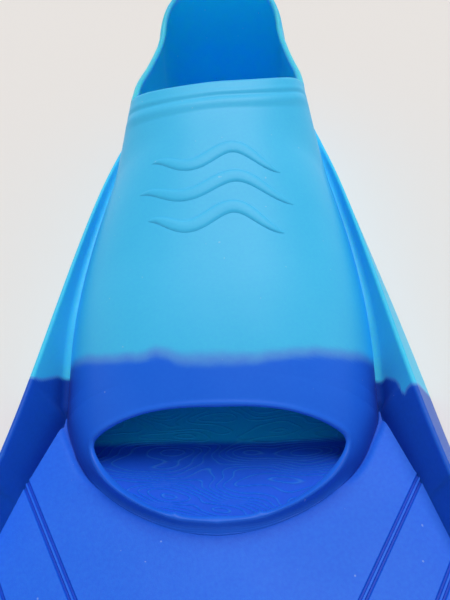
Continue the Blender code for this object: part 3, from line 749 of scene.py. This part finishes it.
def outline_distance(x, y):
    """Roughly how far a point lies outside the pocket's outline."""
    u = np.clip((APEX_Y - y) / (APEX_Y - TOE_FRONT_Y), 0, 3)
    r = (np.abs(np.abs(x) / toe_half(y)) ** 1.8 + u ** 1.8) ** (1 / 1.8)
    rad = np.hypot(x, (APEX_Y - y))
    return (1 - 1 / np.maximum(r, 1e-6)) * rad


def panel_piece(name, ys, nx, nodes, bend, tip=False):
    c = np.linspace(0, 1, nx) ** (1.0 if tip else 1.5)
    ui = np.clip((APEX_Y - ys) / (APEX_Y - TOE_FRONT_Y - 1.2), 0, 1)
    inner = (toe_half(ys) - 1.2) * (1 - ui ** 1.8) ** (1 / 1.8)
    outer = panel_x(ys) + 0.9
    if tip:
        outer = np.minimum(outer, 92.5 - 6.0 * step(-178, -187, ys))
    X = inner[:, None] + (outer - inner)[:, None] * c[None, :]
    Y = np.repeat(ys[:, None], nx, 1)
    # top surface of the right half
    bm = bmesh.new()
    vs = [[bm.verts.new((X[i, j], Y[i, j], 0)) for j in range(nx)] for i in range(len(ys))]
    for i in range(len(ys) - 1):
        for j in range(nx - 1):
            bm.faces.new((vs[i][j], vs[i][j + 1], vs[i + 1][j + 1], vs[i + 1][j]))
    bmesh.ops.remove_doubles(bm, verts=bm.verts, dist=0.01)
    # edges laid exactly along the ribs
    for rib in RIBS:
        (x0, y0), (x1, y1) = rib
        L = math.hypot(x1 - x0, y1 - y0)
        nx_, ny_ = -(y1 - y0) / L, (x1 - x0) / L
        for off, _ in RIB_PROFILE:
            bmesh.ops.bisect_plane(bm, geom=list(bm.verts) + list(bm.edges) + list(bm.faces), dist=0.02,
                                   plane_co=(x0 + nx_ * off, y0 + ny_ * off, 0), plane_no=(nx_, ny_, 0))
    bmesh.ops.triangulate(bm, faces=[f for f in bm.faces if len(f.verts) > 4])
    for f in bm.faces:
        if f.normal.z < 0:
            f.normal_flip()
    # mirror to the left half
    geom = list(bm.verts) + list(bm.edges) + list(bm.faces)
    dup = bmesh.ops.duplicate(bm, geom=geom)["geom"]
    for v in [g for g in dup if isinstance(g, bmesh.types.BMVert)]:
        v.co.x = -v.co.x
    bmesh.ops.reverse_faces(bm, faces=[g for g in dup if isinstance(g, bmesh.types.BMFace)])
    bmesh.ops.remove_doubles(bm, verts=bm.verts, dist=0.01)
    co = np.array([v.co[:] for v in bm.verts])
    z = panel_top(co[:, 1]) + rib_height(co[:, 0], co[:, 1])
    dist_ = outline_distance(co[:, 0], co[:, 1])
    kb = lip_blend(co[:, 1])
    z += fillet(-0.7 * np.clip(dist_, -0.6, 30), kb) * np.clip(kb, 0, 1) * (dist_ < 30)
    z -= 0.05 * np.clip(-dist_ / 0.3, 0, 1)
    # a soft crease along the pocket's sides, which ends where the lip begins
    z -= 0.75 * (1 - kb / 1.0) * np.exp(-(np.maximum(dist_, 0) / 1.5) ** 2) * step(-29, -33, co[:, 1])
    # inside the pocket's outline the surface dives behind the wall
    z -= 1.6 * np.clip(-0.6 - dist_, 0, 4)
    for v, zz in zip(bm.verts, z):
        v.co.z = zz
    # lower face and side walls
    boundary = [e for e in bm.edges if e.is_boundary]
    dup = bmesh.ops.duplicate(bm, geom=list(bm.verts) + list(bm.edges) + list(bm.faces))
    vmap = dup["vert_map"]
    low_faces = [g for g in dup["geom"] if isinstance(g, bmesh.types.BMFace)]
    low_verts = [g for g in dup["geom"] if isinstance(g, bmesh.types.BMVert)]
    for v in low_verts:
        v.co.z = panel_bot(v.co.y) - 0.7 * rib_height(np.array([v.co.x]), np.array([v.co.y]))[0]
    bmesh.ops.reverse_faces(bm, faces=low_faces)
    for e in boundary:
        a_, b_ = e.verts
        bm.faces.new((a_, b_, vmap[b_], vmap[a_]))
    bm.verts.ensure_lookup_table()
    bm.verts.index_update()
    verts = [v.co[:] for v in bm.verts]
    fcs = [tuple(v.index for v in f.verts) for f in bm.faces]
    bm.free()
    x_, y_ = np.array(verts)[:, 0], np.array(verts)[:, 1]
    # painted shade: the colour is darkened along the pocket's outline and down in the rib grooves
    od = np.maximum(outline_distance(x_, y_), 0)
    painted_shade_and_bounce = 0.5 * np.exp(-(od / 3.0) ** 2) * np.clip(lip_blend(y_), 0, 1) + 0.5 * np.exp(-(od / 1.2) ** 2) * (1 - lip_blend(y_))
    for rib in RIBS:
        dd, tt_, L = rib_distance(x_, y_, rib)
        painted_shade_and_bounce = painted_shade_and_bounce + np.interp(np.abs(dd), (0.22, 0.5, 0.92, 1.3), (0, 1, 1, 0)) * (tt_ > -6) * (tt_ < L + 6)
    return make(name, verts, fcs, dark, "foot_pocket", nodes, angle=24, bend=bend, painted_shade_and_bounce=np.clip(painted_shade_and_bounce, 0, 1))


s = 1.5
ys = np.concatenate([np.linspace(-26.0, -56, int(37 / s)), np.linspace(-56, -73.6, int(72 / s))[1:],
                     np.linspace(-73.6, -100, int(24 / s))[1:], np.linspace(-100, ROOT_BEND[1], int(16 / s))[1:]])
panel_piece("blade_panel_root_ribbed", ys, int(100 / s), ("blade_panel_root", "blade_panel_middle"),
            ("foot_pocket", "blade_middle", ROOT_BEND[0], ROOT_BEND[1]))


def tip_line(x, inset=0.0):
    w = TIP_HALF_W - inset
    y = -HALF_LENGTH + inset + 8.0 * (x / TIP_HALF_W) ** 2
    r = 14.0 - inset
    over = np.maximum(0.0, np.abs(x) - (w - r))
    return y + r - np.sqrt(np.maximum(0.0, r * r - over * over))


ys = np.linspace(ROOT_BEND[1], -186.5, int(64 / s))
panel_piece("blade_panel_end_ribbed", ys, int(100 / s), (), ("blade_middle", "blade_tip", TIP_BEND[0], TIP_BEND[1]), tip=True)

# the thick front edge, which carries the rails' line round the corners
th = np.linspace(-1, 1, 181) * np.pi / 2
ex = (TIP_HALF_W - 2.6) * np.sign(th) * np.abs(np.sin(th)) ** 0.5
ey = tip_line(ex, 2.6)
path = np.stack([ex, ey], -1)
path = np.vstack([[[-ex[-1], -168.0]], path, [[ex[-1], -168.0]]])
rings = []
for i in range(len(path)):
    a_, b_ = path[max(0, i - 1)], path[min(len(path) - 1, i + 1)]
    t_ = (b_ - a_) / np.linalg.norm(b_ - a_)
    nrm = np.array([t_[1], -t_[0]])
    back = step(-186, -172, path[i, 1])
    prof = rounded([np.array([-9.0, 2.6]), np.array([-9.0, 4.3]), np.array([-4.2, 4.75]), np.array([-2.2 + 1.4 * back, 5.9 + 0.3 * back]),
                    np.array([2.6 - 2.2 * back, 6.1 - 0.4 * back]), np.array([2.6 - 0.3 * back, 0.0]), np.array([-2.6, 0.0]), np.array([-4.6, 1.7])],
                   [0.2, 0.2, 1.0, 1.2, 2.0, 2.0, 1.0, 1.0], 6)
    rings.append([(path[i, 0] + nrm[0] * w_, path[i, 1] + nrm[1] * w_, z_) for w_, z_ in prof])
g = np.array(rings)
R, C = g.shape[:2]
faces = grid_faces(R, C, False, True)
faces.append(tuple(range(C)))
faces.append(tuple((R - 1) * C + j for j in range(C)))
make("blade_tip_edge_bead", g, faces, dark, "blade_tip", ("blade_tip_edge", "blade_panel_tip"), angle=50)


# ------------------------------------------------ plain wave relief on the instep
def upper_surface(x, y):
    return surface_z(np.asarray(x, float), np.asarray(y, float))


def wave(name, yc, half, width, amp, shift):
    t = np.linspace(-1, 1, 150)
    x = t * half
    y = yc + amp * np.sin(t * np.pi * 1.5 + shift) - 2.5 * t * t
    wdt = width * (1 - np.abs(t) ** 2.6) ** 0.8 + 0.15
    dx, dy = np.gradient(x), np.gradient(y)
    L = np.hypot(dx, dy)
    nx_, ny_ = -dy / L, dx / L
    prof = [(-0.62, -0.6), (-0.56, 0.0), (-0.46, 0.38), (-0.34, 0.55), (0, 0.62), (0.34, 0.55), (0.46, 0.38), (0.56, 0.0), (0.62, -0.6)]
    rings = []
    for i in range(len(t)):
        ring = []
        for wv, hv in prof:
            px = x[i] + nx_[i] * wv * wdt[i]
            py = y[i] + ny_[i] * wv * wdt[i]
            ring.append((px, py, upper_surface(px, py) + hv * min(1.0, wdt[i] / 2.0)))
        rings.append(ring)
    g = np.array(rings)
    R, C = g.shape[:2]
    faces = grid_faces(R, C, False, True)
    faces.append(tuple(range(C)))
    faces.append(tuple((R - 1) * C + j for j in range(C)))
    return make(name, g, faces, light, "foot_pocket", (), angle=50)


wave("wave_relief_upper", 46.0, 24.0, 4.6, 3.4, 0.2)
wave("wave_relief_middle", 33.5, 28.0, 4.6, 3.4, 0.2)
wave("wave_relief_lower", 21.0, 24.0, 4.6, 3.4, 0.2)


# ------------------------------------------------------------------- materials
def scaled(c, k):
    return (c[0] * k[0], min(c[1] * k[1], 0.98), min(c[2] * k[2], 0.98), 1)


def silicone(name, grain=1.0, rough=0.42, spec=0.28, dust=1.0, glow=0.0, lk_=(1, 1, 1), dk_=(1, 1, 1),
             painted_shade_and_bounce=(0.002, 0.530, 0.985, 1), painted_shade_and_bounce_dark=(0.003, 0.060, 0.560, 1)):
    """Satin moulded silicone in two colours, mixed by the tone attribute, with
    a fine moulded grain, faint cloudiness, a few dust specks, and painted shade and bounce light from the
    painted_shade_and_bounce attribute."""
    m = bpy.data.materials.new(name)
    m.use_nodes = True
    nt = m.node_tree
    nd, lk = nt.nodes, nt.links
    bsdf = nd["Principled BSDF"]
    co = nd.new("ShaderNodeTexCoord")
    tone = nd.new("ShaderNodeAttribute")
    tone.attribute_name = "tone"

    def noise(scale, detail=3.0, rough_=0.5):
        n = nd.new("ShaderNodeTexNoise")
        n.inputs["Scale"].default_value = scale
        n.inputs["Detail"].default_value = detail
        n.inputs["Roughness"].default_value = rough_
        lk.new(co.outputs["Object"], n.inputs["Vector"])
        return n

    def ramp(src, a, b, ca=(0, 0, 0, 1), cb=(1, 1, 1, 1)):
        r = nd.new("ShaderNodeValToRGB")
        r.color_ramp.elements[0].position = a
        r.color_ramp.elements[1].position = b
        r.color_ramp.elements[0].color = ca
        r.color_ramp.elements[1].color = cb
        lk.new(src, r.inputs["Fac"])
        return r

    def mix(fac, a, b, mode="MIX"):
        x = nd.new("ShaderNodeMix")
        x.data_type = "RGBA"
        x.blend_type = mode
        for sock, v in ((x.inputs[0], fac), (x.inputs[6], a), (x.inputs[7], b)):
            if hasattr(v, "is_output"):
                lk.new(v, sock)
            else:
                sock.default_value = v
        return x.outputs[2]

    # the border between the colours wanders a little at fine scale
    wander = noise(260, 2.0)
    sub = nd.new("ShaderNodeMath"); sub.operation = "SUBTRACT"; sub.inputs[1].default_value = 0.5
    lk.new(wander.outputs["Fac"], sub.inputs[0])
    mul = nd.new("ShaderNodeMath"); mul.operation = "MULTIPLY"; mul.inputs[1].default_value = 0.35
    lk.new(sub.outputs[0], mul.inputs[0])
    # only where the two meet
    edge = nd.new("ShaderNodeMath"); edge.operation = "MULTIPLY_ADD"
    inv = nd.new("ShaderNodeMath"); inv.operation = "SUBTRACT"; inv.inputs[0].default_value = 1.0
    lk.new(tone.outputs["Fac"], inv.inputs[1])
    both = nd.new("ShaderNodeMath"); both.operation = "MULTIPLY"
    lk.new(tone.outputs["Fac"], both.inputs[0]); lk.new(inv.outputs[0], both.inputs[1])
    amt = nd.new("ShaderNodeMath"); amt.operation = "MULTIPLY"
    lk.new(both.outputs[0], amt.inputs[0]); lk.new(mul.outputs[0], amt.inputs[1])
    k4 = nd.new("ShaderNodeMath"); k4.operation = "MULTIPLY_ADD"; k4.inputs[1].default_value = 4.0
    lk.new(amt.outputs[0], k4.inputs[0]); lk.new(tone.outputs["Fac"], k4.inputs[2])

    cloud = ramp(noise(22, 3.0).outputs["Fac"], 0.35, 0.68)
    fine = ramp(noise(900, 2.0).outputs["Fac"], 0.3, 0.7)
    l_col = mix(cloud.outputs["Color"], scaled(LIGHT_A, lk_), scaled(LIGHT_B, lk_))
    d_col = mix(cloud.outputs["Color"], scaled(DARK_A, dk_), scaled(DARK_B, dk_))
    body = mix(k4.outputs[0], l_col, d_col)
    # a hint of grey-lavender where the two compounds run together
    meet = nd.new("ShaderNodeMath"); meet.operation = "MULTIPLY"; meet.inputs[1].default_value = 1.7
    lk.new(both.outputs[0], meet.inputs[0])
    body = mix(meet.outputs[0], body, MEET)
    # painted shade and bounce light: where this attribute is high the colour turns to the painted shade colours
    inner = nd.new("ShaderNodeAttribute")
    inner.attribute_name = "painted_shade_and_bounce"
    body = mix(inner.outputs["Fac"], body, mix(k4.outputs[0], painted_shade_and_bounce, painted_shade_and_bounce_dark))
    body = mix(0.05 * grain, body, fine.outputs["Color"], "OVERLAY")
    if dust:
        sp = ramp(noise(520, 1.0, 0.4).outputs["Fac"], 0.79, 0.812)
        sp2 = mix(sp.outputs["Color"], body, (0.62, 0.78, 0.95, 1))
        body = mix(0.22 * dust, body, sp2)
    lk.new(body, bsdf.inputs["Base Color"])
    rr = nd.new("ShaderNodeMapRange")
    rr.inputs["To Min"].default_value = rough - 0.05
    rr.inputs["To Max"].default_value = rough + 0.08
    lk.new(noise(38, 4.0).outputs["Fac"], rr.inputs["Value"])
    lk.new(rr.outputs[0], bsdf.inputs["Roughness"])
    bump = nd.new("ShaderNodeBump")
    bump.inputs["Strength"].default_value = 0.22 * grain
    bump.inputs["Distance"].default_value = 0.0001
    lk.new(noise(1700, 2.0, 0.6).outputs["Fac"], bump.inputs["Height"])
    b2 = nd.new("ShaderNodeBump")
    b2.inputs["Strength"].default_value = 0.25
    b2.inputs["Distance"].default_value = 0.0006
    lk.new(noise(60, 2.0).outputs["Fac"], b2.inputs["Height"])
    lk.new(bump.outputs[0], b2.inputs["Normal"])
    lk.new(b2.outputs[0], bsdf.inputs["Normal"])
    bsdf.inputs["Metallic"].default_value = 0.0
    if glow:
        bsdf.inputs["Subsurface Weight"].default_value = glow
        bsdf.inputs["Subsurface Radius"].default_value = (0.05, 0.40, 1.0)
        bsdf.inputs["Subsurface Scale"].default_value = 0.010
    bsdf.inputs["Specular IOR Level"].default_value = spec
    bsdf.inputs["IOR"].default_value = 1.41
    bsdf.inputs["Sheen Weight"].default_value = 0.02
    bsdf.inputs["Sheen Roughness"].default_value = 0.5
    return m


LIGHT_A = (0.052, 0.520, 0.905, 1)
LIGHT_B = (0.066, 0.550, 0.935, 1)
DARK_A = (0.009, 0.132, 0.800, 1)
DARK_B = (0.014, 0.146, 0.840, 1)
MEET = (0.140, 0.270, 0.760, 1)

# each material's painted_shade_and_bounce colours are the painted shade colours used inside and in creases
satin = silicone("satin_silicone", 0.6, 0.42, spec=0.26, painted_shade_and_bounce=(0.004, 0.46, 0.985, 1), painted_shade_and_bounce_dark=(0.002, 0.035, 0.36, 1), lk_=(1.08, 1.05, 1.03), dk_=(1.2, 1.07, 1.02))
grainy = silicone("grained_silicone", 1.5, 0.46, spec=0.21, dk_=(1.2, 1.05, 1.01))
inside = silicone("footbed_silicone", 1.0, 0.5, spec=0.15, dust=0.0, painted_shade_and_bounce_dark=(0.003, 0.100, 0.800, 1))
# inside the heel the painted colour is brighter and greener: painted bounce light
thin = silicone("thin_wall_silicone", 0.6, 0.42, spec=0.26, glow=1.0, lk_=(1.0, 1.03, 1.08), painted_shade_and_bounce=(0.004, 0.62, 0.985, 1))
# the rails' own colours are painted light and shade: the dark compound darkened (dk_) as painted shade, the light one
# brightened (lk_) as painted bounce light
ridge = silicone("rail_silicone", 0.8, 0.42, spec=0.22, glow=0.3, painted_shade_and_bounce=(0.065, 0.64, 0.985, 1), painted_shade_and_bounce_dark=(0.002, 0.035, 0.36, 1), lk_=(0.9, 1.12, 1.07), dk_=(0.6, 0.72, 0.70))
for o in bpy.data.objects:
    if o.type != "MESH" or "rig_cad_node" in o:
        continue
    o.data.materials.clear()
    if o.name.startswith("heel"):
        o.data.materials.append(thin)
    elif o.name.startswith(("rail", "blade_tip_edge")):
        o.data.materials.append(ridge)
    elif o.name.startswith("blade_panel"):
        o.data.materials.append(grainy)
    elif o.name.startswith("footbed"):
        o.data.materials.append(inside)
    else:
        o.data.materials.append(satin)


# ------------------------------------------------------------ floor, light, camera
floor_me = bpy.data.meshes.new("floor")
S = 6.0
floor_me.from_pydata([(-S, -S, -0.0004), (S, -S, -0.0004), (S, S, -0.0004), (-S, S, -0.0004)], [], [(0, 1, 2, 3)])
floor = bpy.data.objects.new("floor", floor_me)
bpy.context.scene.collection.objects.link(floor)
fm = bpy.data.materials.new("floor_paper")
fm.use_nodes = True
fb = fm.node_tree.nodes["Principled BSDF"]
fb.inputs["Base Color"].default_value = (0.83, 0.80, 0.775, 1)
fb.inputs["Roughness"].default_value = 0.9
fb.inputs["Specular IOR Level"].default_value = 0.1
floor_me.materials.append(fm)

scene = bpy.context.scene
scene.view_settings.view_transform = "Standard"
scene.view_settings.look = "None"
world = bpy.data.worlds.new("studio")
scene.world = world
world.use_nodes = True
wn, wl = world.node_tree.nodes, world.node_tree.links
wn["Background"].inputs[0].default_value = (0.975, 0.955, 0.94, 1)
way = wn.new("ShaderNodeTexCoord")
xyz = wn.new("ShaderNodeSeparateXYZ")
wl.new(way.outputs["Generated"], xyz.inputs[0])
sky = wn.new("ShaderNodeMapRange")
sky.interpolation_type = "SMOOTHSTEP"
for key, v in (("From Min", 0.10), ("From Max", 0.62), ("To Min", 0.80), ("To Max", 0.18)):
    sky.inputs[key].default_value = v
wl.new(xyz.outputs["Z"], sky.inputs["Value"])
wl.new(sky.outputs[0], wn["Background"].inputs[1])


def lamp(name, towards, strength, spread):
    """A very large, far softbox: the same light everywhere on the floor."""
    l = bpy.data.lights.new(name, "SUN")
    l.energy = strength
    l.angle = math.radians(spread)
    o = bpy.data.objects.new(name, l)
    o.location = Vector(towards)
    o.rotation_euler = Vector(towards).to_track_quat("Z", "Y").to_euler()
    scene.collection.objects.link(o)
    return o


lamp("key", (0.09, 0.34, 1.0), 2.33, 36)
lamp("fill", (0.25, -0.75, 1.0), 0.05, 60)

CX, CY, CZ = 13.7094, -138.7613, 170.8449
AZ, PITCH, ROLL, FOCAL = -0.0793702, 0.7766476, -0.0898405, 563.7686
fwd = Vector((math.sin(AZ) * math.cos(PITCH), math.cos(AZ) * math.cos(PITCH), -math.sin(PITCH)))
right = fwd.cross(Vector((0, 0, 1))).normalized()
up = right.cross(fwd)
r2 = right * math.cos(ROLL) + up * math.sin(ROLL)
u2 = -right * math.sin(ROLL) + up * math.cos(ROLL)
cam = bpy.data.cameras.new("camera")
cam.sensor_fit = "VERTICAL"
cam.sensor_height = 36.0
cam.lens = 36.0 * FOCAL / 600.0
cam.clip_start = 0.01
cam_ob = bpy.data.objects.new("camera", cam)
scene.collection.objects.link(cam_ob)
cam_ob.matrix_world = Matrix(((r2.x, u2.x, -fwd.x, CX * MM), (r2.y, u2.y, -fwd.y, CY * MM),
                              (r2.z, u2.z, -fwd.z, CZ * MM), (0, 0, 0, 1)))
scene.camera = cam_ob

bpy.context.view_layer.update()
